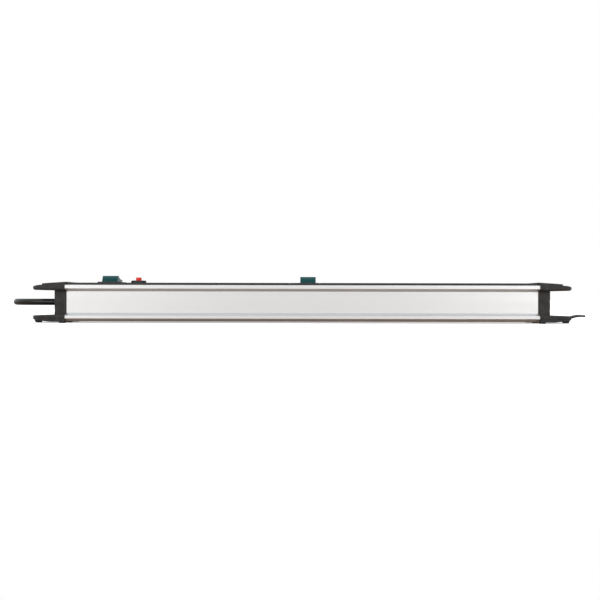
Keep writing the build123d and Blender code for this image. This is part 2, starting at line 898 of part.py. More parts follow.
def lower_wing_face():
    """The lower wing's side view: X and Z, with its underside swept up to a round tip."""
    belly_x = profile_end + wing_straight
    tip_x = tip_end - lower_tip_radius
    tip_low = (tip_x, lower_tip_z - lower_tip_radius)
    tip_high = (tip_x, lower_tip_z + lower_tip_radius)
    belly = ((belly_x + tip_x) / 2, (cap_bottom_z + tip_low[1]) / 2 - wing_belly)
    return make_face(
        [
            Polyline(
                (belly_x, cap_bottom_z),
                (profile_end, cap_bottom_z),
                (profile_end, lower_wing_top_z),
                tip_high,
            ),
            ThreePointArc(tip_high, (tip_end, lower_tip_z), tip_low),
            ThreePointArc(tip_low, belly, (belly_x, cap_bottom_z)),
        ]
    )


def wing_plan(inset=0.0):
    """The cap's outline from above: straight beside the profile, then half an ellipse."""
    half = profile_half_width + cap_proud - inset
    low = profile_end - cap_lap
    high = profile_end + wing_straight
    straight = Pos((low + high) / 2, 0) * Rectangle(high - low, 2 * half)
    return straight + Pos(high, 0) * Ellipse(wing_length - wing_straight - inset, half)


def wing_groove():
    """The line round the lower wing, level with the lower edge of the profile's lip."""
    band = wing_plan(-wing_groove_depth) - wing_plan(wing_groove_depth)
    return Pos(0, 0, lower_lip_z - wing_groove_height) * extrude(band, amount=wing_groove_height)


def foot_spots():
    """Where the four feet of the right cap stand."""
    inner = profile_end + foot_inset
    return [(inner, -foot_row), (inner, 0), (inner, foot_row), (profile_end + tip_foot_reach, 0)]


def cap_screw_spots():
    return [(side * port_y, z) for side in (-1, 1) for z in port_heights]


def cap_shell():
    """The outside of the right end cap: collar, neck and two wings."""
    half = profile_half_width + cap_proud
    plan = extrude(wing_plan(), amount=cover_top_z + 5)
    upper = extrude(Plane.XZ * upper_wing_face(), amount=half, both=True) & plan
    underside = upper.faces().filter_by(lambda face: face.normal_at().Z < 0).sort_by(SortBy.AREA)[-1]
    rim = [edge for edge in underside.edges() if edge.bounding_box().max.X > profile_end + 1]
    upper = chamfer(rim, wing_bevel)
    lower = extrude(Plane.XZ * lower_wing_face(), amount=half, both=True) & plan
    lower = lower - wing_groove()
    neck_half = waist_half_width + neck_proud
    neck = bar(profile_end, neck_end, -neck_half, neck_half, lower_tip_z, upper_tip_z)
    outer_edges = neck.faces().sort_by(Axis.X)[-1].edges().filter_by(Axis.Z)
    neck = fillet(outer_edges, neck_edge)
    collar_face = offset(profile_outline(), amount=cap_proud, kind=Kind.INTERSECTION)
    collar = along_x(collar_face, profile_end, profile_end + collar_length)
    return upper + lower + neck + collar


def end_cap():
    """The right end cap, with its holes, its cavity, a tongue and the seats of its feet."""
    cap = cap_shell()
    boss_x = profile_end + tip_foot_reach
    cap = cap + post(foot_boss_radius, cap_bottom_z, lower_tip_z, boss_x)
    cavity_end = neck_end - neck_wall
    half = cap_cavity_width / 2
    cap = cap - bar(
        profile_end - 1, cavity_end, -half, half, cap_cavity_low_z, cap_cavity_high_z
    )
    for y, z in cap_screw_spots():
        cap = cap - rod(cap_screw_hole_radius, profile_end - 1, neck_end + 1, y, z)
        head = screw_head_radius + head_clearance
        cap = cap - rod(head, neck_end - head_sink, neck_end + 1, y, z)
    cap = cap - rod(grommet_radius, cavity_end - 1, neck_end + 1, 0, cord_z)
    flange_low = neck_end - grommet_flange_height
    cap = cap - rod(grommet_flange_radius, flange_low, neck_end + 1, 0, cord_z)
    for x, y in foot_spots():
        cap = cap - post(foot_stem_radius, cap_bottom_z - 1, cap_bottom_z + foot_stem_length, x, y)
    tongue_low = profile_bottom_z + profile_wall + tongue_gap
    tongue = bar(
        profile_end - tongue_length,
        profile_end + 1,
        -tongue_width / 2,
        tongue_width / 2,
        tongue_low,
        tongue_low + tongue_thickness,
    )
    return cap + tongue


def right_end_cap():
    """The cap with the slot that holds the hanging eye."""
    half = eye_tail_width / 2 + eye_fit
    low = lower_tip_z - eye_thickness / 2 - eye_fit
    tail_x = tip_end - eye_tail_length - eye_fit
    slot = bar(tail_x, tip_end + 1, -half, half, low, low + eye_thickness + 2 * eye_fit)
    return end_cap() - slot


def left_end_cap():
    """The cap with the shelf that carries the cord inside the strip."""
    cap = mirror(end_cap(), Plane.YZ)
    half = shelf_width / 2
    top = cord_z - cord_radius
    shelf = bar(
        -neck_end + neck_wall,
        -profile_end + shelf_length,
        -half,
        half,
        top - shelf_thickness,
        top,
    )
    for side in (-1, 1):
        reach = shelf_thickness + 1
        pilot_radius = clamp_screw_radius + thread_clearance
        y = side * clamp_screw_offset
        shelf = shelf - post(pilot_radius, top - reach, top + 1, clamp_x(), y)
    return cap + shelf


def clamp_x():
    """The station of the clamp's middle."""
    return -profile_end + clamp_inset + clamp_length / 2


def cap_screw(y, z):
    head_low = neck_end - head_sink
    shank = rod(cap_screw_radius, neck_end - cap_screw_length, head_low, y, z)
    head = rod(screw_head_radius, head_low, head_low + screw_head_height, y, z)
    face = head_low + screw_head_height
    span = screw_head_radius + 1
    slot = bar(face - slot_depth, face + 1, y - span, y + span, z - slot_width / 2, z + slot_width / 2)
    return shank + head - slot


def end_cap_screws():
    """Four screws at each end, into the profile's screw ports."""
    right = [cap_screw(y, z) for y, z in cap_screw_spots()]
    return group(right + [mirror(screw, Plane.YZ) for screw in right])


def foot(x, y):
    pad = post(foot_radius, 0, cap_bottom_z, x, y)
    pad = chamfer(pad.faces().sort_by(Axis.Z)[0].edges(), foot_edge)
    stem_top = cap_bottom_z + foot_stem_length - foot_stem_play
    return pad + post(foot_stem_radius - thread_clearance, cap_bottom_z, stem_top, x, y)


def feet():
    right = [foot(x, y) for x, y in foot_spots()]
    return group(right + [mirror(pad, Plane.YZ) for pad in right])


def hanging_eye():
    """A thin arched tongue with a hole, its tail held in the wing's tip."""
    low = lower_tip_z - eye_thickness / 2
    high = low + eye_thickness
    end_x = tip_end + eye_reach
    middle_x = tip_end + eye_reach / 2
    lift = eye_end_rise
    face = make_face(
        [
            Line((tip_end - eye_tail_length, low), (tip_end, low)),
            ThreePointArc((tip_end, low), (middle_x, low + eye_rise), (end_x, low + lift)),
            Line((end_x, low + lift), (end_x, high + lift)),
            ThreePointArc((end_x, high + lift), (middle_x, high + eye_rise), (tip_end, high)),
            Line((tip_end, high), (tip_end - eye_tail_length, high)),
            Line((tip_end - eye_tail_length, high), (tip_end - eye_tail_length, low)),
        ]
    )
    strip = extrude(Plane.XZ * face, amount=eye_radius, both=True)
    tail_x = tip_end - eye_tail_length
    tail = bar(tail_x, eye_hole_x, -eye_tail_width / 2, eye_tail_width / 2, 0, 2 * high)
    plan = tail + post(eye_radius, 0, 2 * high, eye_hole_x)
    return (strip & plan) - post(eye_hole_radius, 0, 2 * high, eye_hole_x)


def cord_grommet():
    """The bush that the cord passes through in the left cap."""
    flange_x = -neck_end + grommet_flange_height
    grommet = rod(grommet_flange_radius, -neck_end, flange_x, 0, cord_z)
    grommet = grommet + rod(grommet_radius, flange_x, -neck_end + neck_wall, 0, cord_z)
    bore = cord_radius + grommet_fit
    return grommet - rod(bore, -neck_end - 1, -neck_end + neck_wall + 1, 0, cord_z)


def blind_plug():
    """The plug that closes the cord's opening in the right cap."""
    flange_x = neck_end - grommet_flange_height
    plug = rod(grommet_flange_radius, flange_x, neck_end, 0, cord_z)
    plug = plug + rod(grommet_radius, neck_end - neck_wall, flange_x, 0, cord_z)
    return plug - rod(plug_dent_radius, neck_end - plug_dent_depth, neck_end + 1, 0, cord_z)


def cord_inner_end():
    """The stretch of sheath from the grommet to the clamp."""
    return rod(cord_radius, -neck_end, -profile_end + inner_cord_reach, 0, cord_z)


def cord_clamp():
    """The saddle that presses the sheath onto the shelf."""
    low = cord_z - cord_radius
    half_x, half_y = clamp_length / 2, clamp_width / 2
    x = clamp_x()
    clamp = bar(x - half_x, x + half_x, -half_y, half_y, low, low + clamp_height)
    clamp = clamp - rod(cord_radius + clamp_fit, x - half_x - 1, x + half_x + 1, 0, cord_z)
    channel = cord_radius + clamp_fit
    clamp = clamp - bar(x - half_x - 1, x + half_x + 1, -channel, channel, low - 1, cord_z)
    for y in (-clamp_screw_offset, clamp_screw_offset):
        clamp = clamp - post(clamp_screw_radius + thread_clearance, low - 1, low + clamp_height + 1, x, y)
    return clamp


def clamp_screws():
    low = cord_z - cord_radius
    top = low + clamp_height
    screws = []
    for y in (-clamp_screw_offset, clamp_screw_offset):
        shank = post(clamp_screw_radius, low - shelf_thickness, top, clamp_x(), y)
        screws.append(shank + post(screw_head_radius, top, top + screw_head_height, clamp_x(), y))
    return group(screws)


def wire(route):
    """An insulated wire with the same bend at each corner."""
    return swept(route, wire_bend, wire_radius)


def joined(start, spots, end):
    """A route on the level of z: down from a start, past some spots, and up to an end."""
    level = [(x, y, spots[0][2]) for x, y in ((start[0], start[1]), (end[0], end[1]))]
    return [start, level[0], *spots, level[1], end]


def rail_end(x, side, z=None):
    """Where a wire meets the lower edge of a contact rail."""
    return (x, side * (rail_y + rail_thickness / 2), rail_low_z if z is None else z)


def live_wires():
    """From the cord to the breaker and both rails, by way of the two switches."""
    core = cord_z - core_spread / 2
    left_pole = rocker_left_x - pole_offset
    right_pole = rocker_middle_x + pole_offset
    incoming = [
        (sheath_end, core_spread, core),
        (sheath_end + live_core_bends[0], core_spread, core),
        (sheath_end + live_core_bends[1], core_spread, wire_z),
        (left_pole, 0, wire_z),
        (left_pole, 0, left_tab_z),
    ]
    to_breaker = joined(
        (left_pole, pad_y, left_tab_z),
        [(rocker_left_x, lane, wire_z), (rocker_left_x + 3 * pole_offset, lane, wire_z)],
        (button_x, breaker_tab_offset, breaker_tab_z),
    )
    to_rail = [
        (button_x, -breaker_tab_offset, breaker_tab_z),
        (button_x, -breaker_tab_offset, wire_z),
        rail_end(rail_a_low + wire_radius, -1, wire_z),
        rail_end(rail_a_low + wire_radius, -1),
    ]
    to_middle = joined(
        rail_end(rail_a_high - wire_radius, -1),
        [(rocker_middle_x - live_middle_bend, -2 * lane, wire_z)],
        (right_pole, 0, middle_tab_z),
    )
    first, second = (right_pole + bend for bend in live_onward_bends)
    onward = joined(
        (right_pole, pad_y, middle_tab_z),
        [(first, lane, wire_z), (second, -lane, wire_z)],
        rail_end(rail_b_low + wire_radius, -1),
    )
    return group(wire(route) for route in (incoming, to_breaker, to_rail, to_middle, onward))


def neutral_wires():
    """From the cord to both rails, by way of the two switches."""
    core = cord_z - core_spread / 2
    left_pole = rocker_left_x + pole_offset
    right_pole = rocker_middle_x - pole_offset
    incoming = [
        (sheath_end, -core_spread, core),
        (sheath_end + neutral_core_bends[0], -core_spread, core),
        (sheath_end + neutral_core_bends[1], -lane, wire_z),
        (left_pole - neutral_pole_bends[0], -lane, wire_z),
        (left_pole, 0, wire_z),
        (left_pole, 0, left_tab_z),
    ]
    first, second = left_pole + neutral_pole_bends[1], button_x + breaker_pass
    to_rail = joined(
        (left_pole, pad_y, left_tab_z),
        [(first, 3 * lane, wire_z), (second, 3 * lane, wire_z)],
        rail_end(rail_a_low + wire_radius, 1),
    )
    to_middle = joined(
        rail_end(rail_a_high - wire_radius, 1),
        [(right_pole - neutral_middle_bend, lane, wire_z)],
        (right_pole, 0, middle_tab_z),
    )
    first, second = (right_pole + bend for bend in neutral_onward_bends)
    onward = joined(
        (right_pole, pad_y, middle_tab_z),
        [(first, 3 * lane, wire_z), (second, 3 * lane, wire_z)],
        rail_end(rail_b_low + wire_radius, 1),
    )
    return group(wire(route) for route in (incoming, to_rail, to_middle, onward))


def earth_wires():
    """From the cord to the first earth rail, and from that to the second."""
    core = cord_z + core_spread + wire_gap
    upper_z = wire_z + earth_wire_lift
    first, second, third = (sheath_end + bend for bend in earth_core_bends)
    incoming = [
        (sheath_end, 0, core),
        (first, 0, core),
        (second, -2 * lane, (core + wire_z) / 2),
        (third, -2 * lane, wire_z),
        (rocker_left_x + earth_switch_bends[0], -2 * lane, wire_z),
        (rocker_left_x + earth_switch_bends[1], 0, wire_z),
        (rail_a_low + wire_radius, 0, wire_z),
        (rail_a_low + wire_radius, 0, earth_rail_z),
    ]
    first, last = rail_a_high + earth_onward_bends[0], rail_b_low - earth_onward_bends[1]
    onward = joined(
        (rail_a_high - wire_radius, 0, earth_rail_z),
        [(first, -lane, upper_z), (last, -lane, upper_z)],
        (rail_b_low + wire_radius, 0, earth_rail_z),
    )
    return group(wire(route) for route in (incoming, onward))


def turn_radii(route):
    """Each bend of a free cord is as large as its two runs allow."""
    points = [Vector(*point) for point in route]
    radii = []
    for before, at, after in zip(points, points[1:], points[2:]):
        coming, going = at - before, after - at
        half_turn = math.radians(coming.get_angle(going)) / 2
        shorter = min(coming.length, going.length)
        radii.append(arc_share * shorter / math.tan(half_turn))
    return radii


def free_cord(name, route):
    """A stretch of the free cord. It prints its bends and its volume over section times length."""
    radii = turn_radii(route)
    path = FilletPolyline(*route, radius=radii)
    tube = swept(route, radii, cord_radius)
    share = tube.volume / (math.pi * cord_radius**2 * path.length)
    print(name, "length", round(path.length), "radii", [round(r) for r in radii], round(share, 4))
    return tube


def cord_coil():
    """The outer shape of the coiled cord: a flat ring, two turns high."""
    outer = coil_outer_radius + cord_radius
    inner = coil_outer_radius - (2 * coil_tracks - 1) * cord_radius
    height = coil_layers * 2 * cord_radius
    ring = post(outer, 0, height) - post(inner, -1, height + 1)
    return Pos(*coil_center, 0) * ring


def along_plug(points):
    """Turns an outline of X and radius about the plug's own axis."""
    y, z = tail_route[-1][1:]
    turned = revolve(make_face(Polyline(*points, close=True)), axis=Axis.X)
    return Pos(0, y, z) * turned


def plug_part(solid):
    """Sets a solid, drawn about the X axis, on the plug's axis."""
    y, z = tail_route[-1][1:]
    return Pos(0, y, z) * solid


def plug_body():
    """A round two-pin plug with a waisted grip, slots for its earth strips and an earth hole."""
    front_x = plug_face_x - plug_front_length
    body = along_plug(
        [
            (plug_start_x, 0),
            (plug_start_x, plug_neck_radius),
            (front_x - plug_grip_length / 2, plug_grip_radius),
            (front_x, plug_radius),
            (plug_face_x - plug_edge, plug_radius),
            (plug_face_x, plug_radius - plug_edge),
            (plug_face_x, 0),
        ]
    )
    half = earth_slot_width / 2
    for side in (-1, 1):
        walls = sorted((side * (plug_radius - earth_slot_depth), side * (plug_radius + 1)))
        body = body - plug_part(bar(front_x + earth_slot_inset, plug_face_x + 1, -half, half, *walls))
        sink_x = plug_face_x - plug_pin_sink
        hole = rod(plug_pin_radius, sink_x, plug_face_x + 1, side * pin_spacing / 2)
        body = body - plug_part(hole)
    depth_x = plug_face_x - plug_earth_hole_depth
    earth = rod(plug_earth_hole_radius, depth_x, plug_face_x + 1, 0, plug_earth_hole_offset)
    return body - plug_part(earth)


def plug_boot():
    """The ribbed strain relief behind the plug."""
    start_x = tail_route[-1][0]
    boot = along_plug(
        [
            (start_x, 0),
            (start_x, boot_tip_radius),
            (plug_start_x, boot_root_radius),
            (plug_start_x, 0),
        ]
    )
    pitch = boot_length / (boot_grooves + 1)
    for i in range(boot_grooves):
        x = start_x + (i + 1) * pitch
        groove = rod(2 * boot_root_radius, x - boot_groove, x + boot_groove)
        groove = groove - rod(boot_tip_radius - boot_groove, x - pitch, x + pitch)
        boot = boot - plug_part(groove)
    return boot


def plug_pins():
    pins = []
    for side in (-1, 1):
        pin = rod(
            plug_pin_radius,
            plug_face_x - plug_pin_sink,
            plug_face_x + plug_pin_length,
            side * pin_spacing / 2,
        )
        pin = fillet(pin.faces().sort_by(Axis.X)[-1].edges(), plug_pin_edge)
        pins.append(plug_part(pin))
    return group(pins)


def plug_earth_contacts():
    """Two spring strips in the plug's side slots."""
    half = earth_slot_width / 2 - earth_contact_clearance
    strips = []
    for side in (-1, 1):
        bottom = plug_radius - earth_slot_depth
        walls = sorted((side * bottom, side * (bottom + earth_contact_thickness)))
        front_x = plug_face_x - plug_front_length + earth_slot_inset
        strips.append(plug_part(bar(front_x, plug_face_x - plug_edge, -half, half, *walls)))
    return group(strips)


def strip_nodes():
    """Every piece of the strip itself, in the strip's own frame."""
    made = {
        "aluminium_profile": aluminium_profile(),
        "left_end_cap": left_end_cap(),
        "right_end_cap": right_end_cap(),
        "end_cap_screws": end_cap_screws(),
        "feet": feet(),
        "hanging_eye": hanging_eye(),
        "cord_grommet": cord_grommet(),
        "blind_plug": blind_plug(),
        "cord_inner_end": cord_inner_end(),
        "cord_clamp": cord_clamp(),
        "clamp_screws": clamp_screws(),
        "blank_cover": blank_cover(),
        "left_switch_cover": left_switch_cover(),
        "middle_switch_cover": middle_switch_cover(),
        "end_cover": end_cover(),
        "base_screws": base_screws(),
        "earth_clips": earth_clips(),
        "live_rail_a": contact_rail(rail_a_low, rail_a_high, block_starts[:2], -1),
        "live_rail_b": contact_rail(rail_b_low, rail_b_high, block_starts[2:], -1),
        "neutral_rail_a": contact_rail(rail_a_low, rail_a_high, block_starts[:2], 1),
        "neutral_rail_b": contact_rail(rail_b_low, rail_b_high, block_starts[2:], 1),
        "earth_rail_a": earth_rail(rail_a_low, rail_a_high),
        "earth_rail_b": earth_rail(rail_b_low, rail_b_high),
        "breaker_body": breaker_body(),
        "breaker_collar": breaker_collar(),
        "breaker_terminals": breaker_terminals(),
        "reset_button": reset_button(),
        "reset_spring": reset_spring(),
        "live_wires": live_wires(),
        "neutral_wires": neutral_wires(),
        "earth_wires": earth_wires(),
    }
    for number, start in enumerate(block_starts, 1):
        made[f"socket_block_{number}"] = socket_block(start)
        made[f"socket_base_{number}"] = socket_base(start)
    switches = [
        (rocker_left_x, pivot_left_z, bezel_width_left, left_bezel_height),
        (rocker_middle_x, pivot_middle_z, bezel_width_middle, middle_bezel_height),
    ]
    for number, (x, pivot_z, width, height) in enumerate(switches, 1):
        made[f"switch_frame_{number}"] = switch_frame(x, pivot_z, width, height)
        made[f"rocker_{number}"] = rocker(x, pivot_z)
        made[f"lamp_{number}"] = lamp(x, pivot_z)
        made[f"switch_terminals_{number}"] = switch_terminals(x, pivot_z)
        made[f"contact_arms_{number}"] = contact_arms(x, pivot_z)
    return made


def cord_nodes():
    """The free cord and what is on it, in the part's frame."""
    return {
        "cord_tube": free_cord("cord_tube", cord_route),
        "cord_coil": cord_coil(),
        "cord_tail": free_cord("cord_tail", tail_route),
        "plug_boot": plug_boot(),
        "plug_body": plug_body(),
        "plug_pins": plug_pins(),
        "plug_earth_contacts": plug_earth_contacts(),
    }


def main():
    os.makedirs("parts", exist_ok=True)
    for name, shape in strip_nodes().items():
        export_step(Pos(strip_shift, 0, 0) * shape, f"parts/{name}.step")
    for name, shape in cord_nodes().items():
        export_step(shape, f"parts/{name}.step")


main()
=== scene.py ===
import bpy
import math
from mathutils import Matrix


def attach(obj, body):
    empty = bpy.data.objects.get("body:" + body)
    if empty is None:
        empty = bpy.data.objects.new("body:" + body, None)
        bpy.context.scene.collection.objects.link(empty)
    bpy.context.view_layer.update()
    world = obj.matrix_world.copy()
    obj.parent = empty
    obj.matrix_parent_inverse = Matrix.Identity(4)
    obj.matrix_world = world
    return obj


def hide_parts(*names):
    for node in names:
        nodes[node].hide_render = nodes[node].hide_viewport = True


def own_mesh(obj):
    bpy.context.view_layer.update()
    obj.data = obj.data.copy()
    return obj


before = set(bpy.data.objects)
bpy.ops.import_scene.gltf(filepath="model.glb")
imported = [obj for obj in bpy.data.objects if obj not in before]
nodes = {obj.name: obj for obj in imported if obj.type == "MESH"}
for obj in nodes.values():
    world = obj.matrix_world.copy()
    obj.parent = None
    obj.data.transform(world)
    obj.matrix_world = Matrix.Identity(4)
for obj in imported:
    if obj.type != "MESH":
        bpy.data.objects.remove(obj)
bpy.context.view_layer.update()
scene = bpy.context.scene
print("power strip loaded:", len(nodes), "nodes")


# camera, level with the strip's long side
sideCamera = {
    "place": (-0.013, -0.98, 0.0297),
    "lens": 44.9,
    "sensor": 36.0,
    "roll": -0.107,  # degrees
}


def addCamera(s):
    data = bpy.data.cameras.new("sideCamera")
    data.lens = s["lens"]
    data.sensor_width = s["sensor"]
    data.clip_end = 50
    camera = bpy.data.objects.new("sideCamera", data)
    camera.location = s["place"]
    camera.rotation_euler = (math.pi / 2, math.radians(s["roll"]), 0)
    scene.collection.objects.link(camera)
    scene.camera = camera


addCamera(sideCamera)
scene.view_settings.view_transform = "Standard"
print("camera placed")


# free cord: out of the left end, behind the strip into a coil of two layers, and to the plug
freeCord = {
    "radius": 0.0042,
    "length": 3.0,
    "route": [
        (-0.326, 0.0, 0.02665),
        (-0.3684, 0.0, 0.02665),
        (-0.4002, 0.0318, 0.02665),
        (-0.4002, 0.0768, 0.02665),
        (-0.3684, 0.1086, 0.02665),
        (-0.324, 0.1086, 0.02665),
        (-0.282, 0.096, 0.0042),
        (-0.242, 0.0765, 0.0042),
        (-0.199, 0.0667, 0.0042),
    ],
    "tail": [
        (-0.157, 0.0676, 0.0132),
        (-0.115, 0.076, 0.017),
        (-0.075, 0.083, 0.0187),
        (-0.039, 0.083, 0.0187),
    ],
    "coilCentre": (-0.199, 0.1327),
    "outerRadius": 0.066,
    "layerTurns": 3.5,
    "turnPoints": 16,  # control points in one turn
    "shrink": 0.981,  # the curve's radius over its control points' radius
}

coilTie = {
    "angle": 20.0,  # degrees round the coil
    "width": 0.010,
    "thickness": 0.0011,
    "slack": 0.0005,
    "overlap": 0.024,
    "liftSpread": 30.0,  # degrees over which the turns rise onto the strap
    "outlineSteps": 72,  # directions in which the strap is laid round the turns
    "step": 0.001,  # between two rows of its points
    "riseStart": 0.006,  # before the full round, where it lifts onto itself
    "riseLength": 0.005,
    "skin": 0.0001,  # left between the strap's two layers
    "acrossRows": (-0.5, -0.42, 0.42, 0.5),  # shares of its width
    "rim": 0.00025,
}


# radius and height of the coil's centreline after so many turns
def coilPlace(turn):
    s = freeCord
    pitch = 2 * s["radius"]
    inner = s["outerRadius"] - s["layerTurns"] * pitch
    if turn < s["layerTurns"]:  # the bottom layer winds inwards
        return s["outerRadius"] - pitch * turn, s["radius"]
    climb = turn - s["layerTurns"]
    if climb < 1:  # one turn climbs onto the bottom layer
        swing = math.pi / 2 * climb
        radius = inner + pitch * (1 - climb - math.cos(swing))
        return radius, s["radius"] + pitch * math.sin(swing)
    whole, part = divmod(climb - 1, 1)  # the top layer winds outwards, clear of the climb
    swing = math.pi / 2 * part
    rest = math.sqrt(1 - (1 - math.sin(swing)) ** 2)
    return inner + pitch * (whole + 1 - part - math.cos(swing) + rest), 3 * s["radius"]


# how far the turns are lifted by the strap below them
def tieLift(angle):
    away = (math.degrees(angle) - coilTie["angle"] + 180) % 360 - 180
    return coilTie["thickness"] * math.exp(-((away / coilTie["liftSpread"]) ** 4))


def coilPoints():
    s = freeCord
    points = []
    for k in range(1, int((2 * s["layerTurns"] + 1) * s["turnPoints"]) + 1):
        turn = k / s["turnPoints"]
        angle = 2 * math.pi * turn - math.pi / 2
        radius, height = coilPlace(turn)
        x = s["coilCentre"][0] + radius / s["shrink"] * math.cos(angle)
        y = s["coilCentre"][1] + radius / s["shrink"] * math.sin(angle)
        points.append((x, y, height + tieLift(angle)))
    return points


def makeCord():
    s = freeCord
    points = s["route"] + coilPoints() + s["tail"]
    data = bpy.data.curves.new("freeCord", "CURVE")
    data.dimensions = "3D"
    data.resolution_u = 8
    data.bevel_depth = 1
    data.bevel_resolution = 6
    data.use_fill_caps = True
    line = data.splines.new("NURBS")
    line.points.add(len(points) - 1)
    for point, place in zip(line.points, points):
        point.co = (*place, 1)
        point.radius = s["radius"]
    line.order_u = 3
    line.use_endpoint_u = True
    line.use_smooth = True
    cord = bpy.data.objects.new("freeCord", data)
    scene.collection.objects.link(cord)
    return cord


# centres of the turns where the tie crosses them, as radius and height
def turnsUnderTie():
    first = (coilTie["angle"] + 90) / 360
    last = 2 * freeCord["layerTurns"] + 1
    places = []
    while first < last:
        radius, height = coilPlace(first)
        places.append((radius, height + coilTie["thickness"]))
        first += 1
    return places


# the line a tight strap takes round those turns
def strapOutline(margin):
    turns = turnsUnderTie()
    steps = coilTie["outlineSteps"]
    outline = []
    for k in range(steps):
        angle = math.pi / 2 - 2 * math.pi * (k + 0.5) / steps
        out = (math.cos(angle), math.sin(angle))
        radius, height = max(turns, key=lambda t: t[0] * out[0] + t[1] * out[1])
        outline.append((radius + margin * out[0], height + margin * out[1]))
    return outline


# points at even steps along an outline, from its middle point on top and past it again
def evenSteps(outline, step, extra):
    start = ((outline[0][0] + outline[-1][0]) / 2, (outline[0][1] + outline[-1][1]) / 2)
    corners = [start] + outline + [start] + outline
    loop = 0
    for a, b in zip(corners, corners[1:len(outline) + 2]):
        loop += math.dist(a, b)
    places = []
    walked, wanted = 0, 0
    for a, b in zip(corners, corners[1:]):
        run = math.dist(a, b)
        while run > 0 and wanted <= walked + run and wanted <= loop + extra:
            share = (wanted - walked) / run
            places.append((a[0] + share * (b[0] - a[0]), a[1] + share * (b[1] - a[1])))
            wanted += step
        walked += run
    return places, loop


def makeTie():
    s = coilTie
    step = s["step"]
    margin = freeCord["radius"] + s["slack"]
    places, loop = evenSteps(strapOutline(margin), step, s["overlap"])
    angle = math.radians(s["angle"])
    outward = (math.cos(angle), math.sin(angle))
    across = (-outward[1], outward[0])
    rows, faces = [], []
    middle = tuple(sum(p[i] for p in places) / len(places) for i in (0, 1))
    for k, (radius, height) in enumerate(places):
        over = min(1, max(0, (k * step - loop + s["riseStart"]) / s["riseLength"]))
        away = math.dist((radius, height), middle)
        push = 1 + over * (s["thickness"] + s["skin"]) / away
        radius = middle[0] + (radius - middle[0]) * push
        height = middle[1] + (height - middle[1]) * push
        for side in s["acrossRows"]:
            shift = side * s["width"]
            rows.append((
                freeCord["coilCentre"][0] + radius * outward[0] + shift * across[0],
                freeCord["coilCentre"][1] + radius * outward[1] + shift * across[1],
                height,
            ))
    wide = len(s["acrossRows"])
    for k in range(len(places) - 1):
        for j in range(wide - 1):
            corner = wide * k + j
            faces.append((corner, corner + 1, corner + wide + 1, corner + wide))
    mesh = bpy.data.meshes.new("coilTie")
    mesh.from_pydata(rows, [], faces)
    mesh.polygons.foreach_set("use_smooth", [True] * len(mesh.polygons))
    tie = bpy.data.objects.new("coilTie", mesh)
    scene.collection.objects.link(tie)
    shell = tie.modifiers.new("strapThickness", "SOLIDIFY")
    shell.thickness = s["thickness"] - s["skin"]
    shell.offset = 1
    rim = tie.modifiers.new("strapRim", "BEVEL")
    rim.width = s["rim"]
    rim.segments = 2
    rim.limit_method = "ANGLE"
    return tie


cord = makeCord()
tie = makeTie()
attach(cord, "strip")
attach(tie, "strip")
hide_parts("cord_tube", "cord_coil", "cord_tail")
print("cord coiled and tied")


# spring under the reset button
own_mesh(nodes["reset_spring"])


# puts one shader node in a tree; plugs gives its inputs numbers, colours or other sockets
def put(tree, kind, at, plugs=None, **fields):
    node = tree.nodes.new("ShaderNode" + kind)
    node.location = at
    for name, value in fields.items():
        setattr(node, name, value)
    for name, value in (plugs or {}).items():
        if isinstance(value, bpy.types.NodeSocket):
            tree.links.new(value, node.inputs[name])
        else:
            node.inputs[name].default_value = value
    return node


def startGroup(name, inputs, outputs):
    tree = bpy.data.node_groups.new(name, "ShaderNodeTree")
    for label, kind, value in inputs:
        socket = tree.interface.new_socket(
            name=label, in_out="INPUT", socket_type="NodeSocket" + kind)
        if value is not None:
            socket.default_value = value
    for label, kind in outputs:
        tree.interface.new_socket(name=label, in_out="OUTPUT", socket_type="NodeSocket" + kind)
    entry = tree.nodes.new("NodeGroupInput")
    entry.location = (-800, 0)
    end = tree.nodes.new("NodeGroupOutput")
    end.location = (600, 0)
    return tree, entry.outputs, end.inputs


def useGroup(tree, group, at, plugs):
    return put(tree, "Group", at, plugs, node_tree=group).outputs


# turns a noise into a change to either side of nought
eitherWay = {"From Min": 0.3, "From Max": 0.7, "To Min": -0.5, "To Max": 0.5}


# spark-eroded grain of a mould, and slow changes of its sheen
def makeMouldGrain():
    tree, given, out = startGroup(
        "mouldGrain",
        [("Vector", "Vector", None), ("Grain", "Float", 1600), ("Mottle Scale", "Float", 30)],
        [("Height", "Float"), ("Mottle", "Float")],
    )
    cells = put(tree, "TexVoronoi", (-500, 200), {
        "Vector": given["Vector"], "Scale": given["Grain"]}, feature="SMOOTH_F1")
    pits = put(tree, "TexNoise", (-500, -100), {
        "Vector": given["Vector"], "Scale": given["Grain"], "Detail": 2})
    height = put(tree, "Math", (0, 100), operation="ADD")
    tree.links.new(cells.outputs["Distance"], height.inputs[0])
    tree.links.new(pits.outputs["Fac"], height.inputs[1])
    slow = put(tree, "TexNoise", (-500, -400), {
        "Vector": given["Vector"], "Scale": given["Mottle Scale"], "Detail": 4, "Roughness": 0.6})
    spread = put(tree, "MapRange", (0, -300), {"Value": slow.outputs["Fac"]} | eitherWay)
    tree.links.new(height.outputs[0], out["Height"])
    tree.links.new(spread.outputs["Result"], out["Mottle"])
    return tree


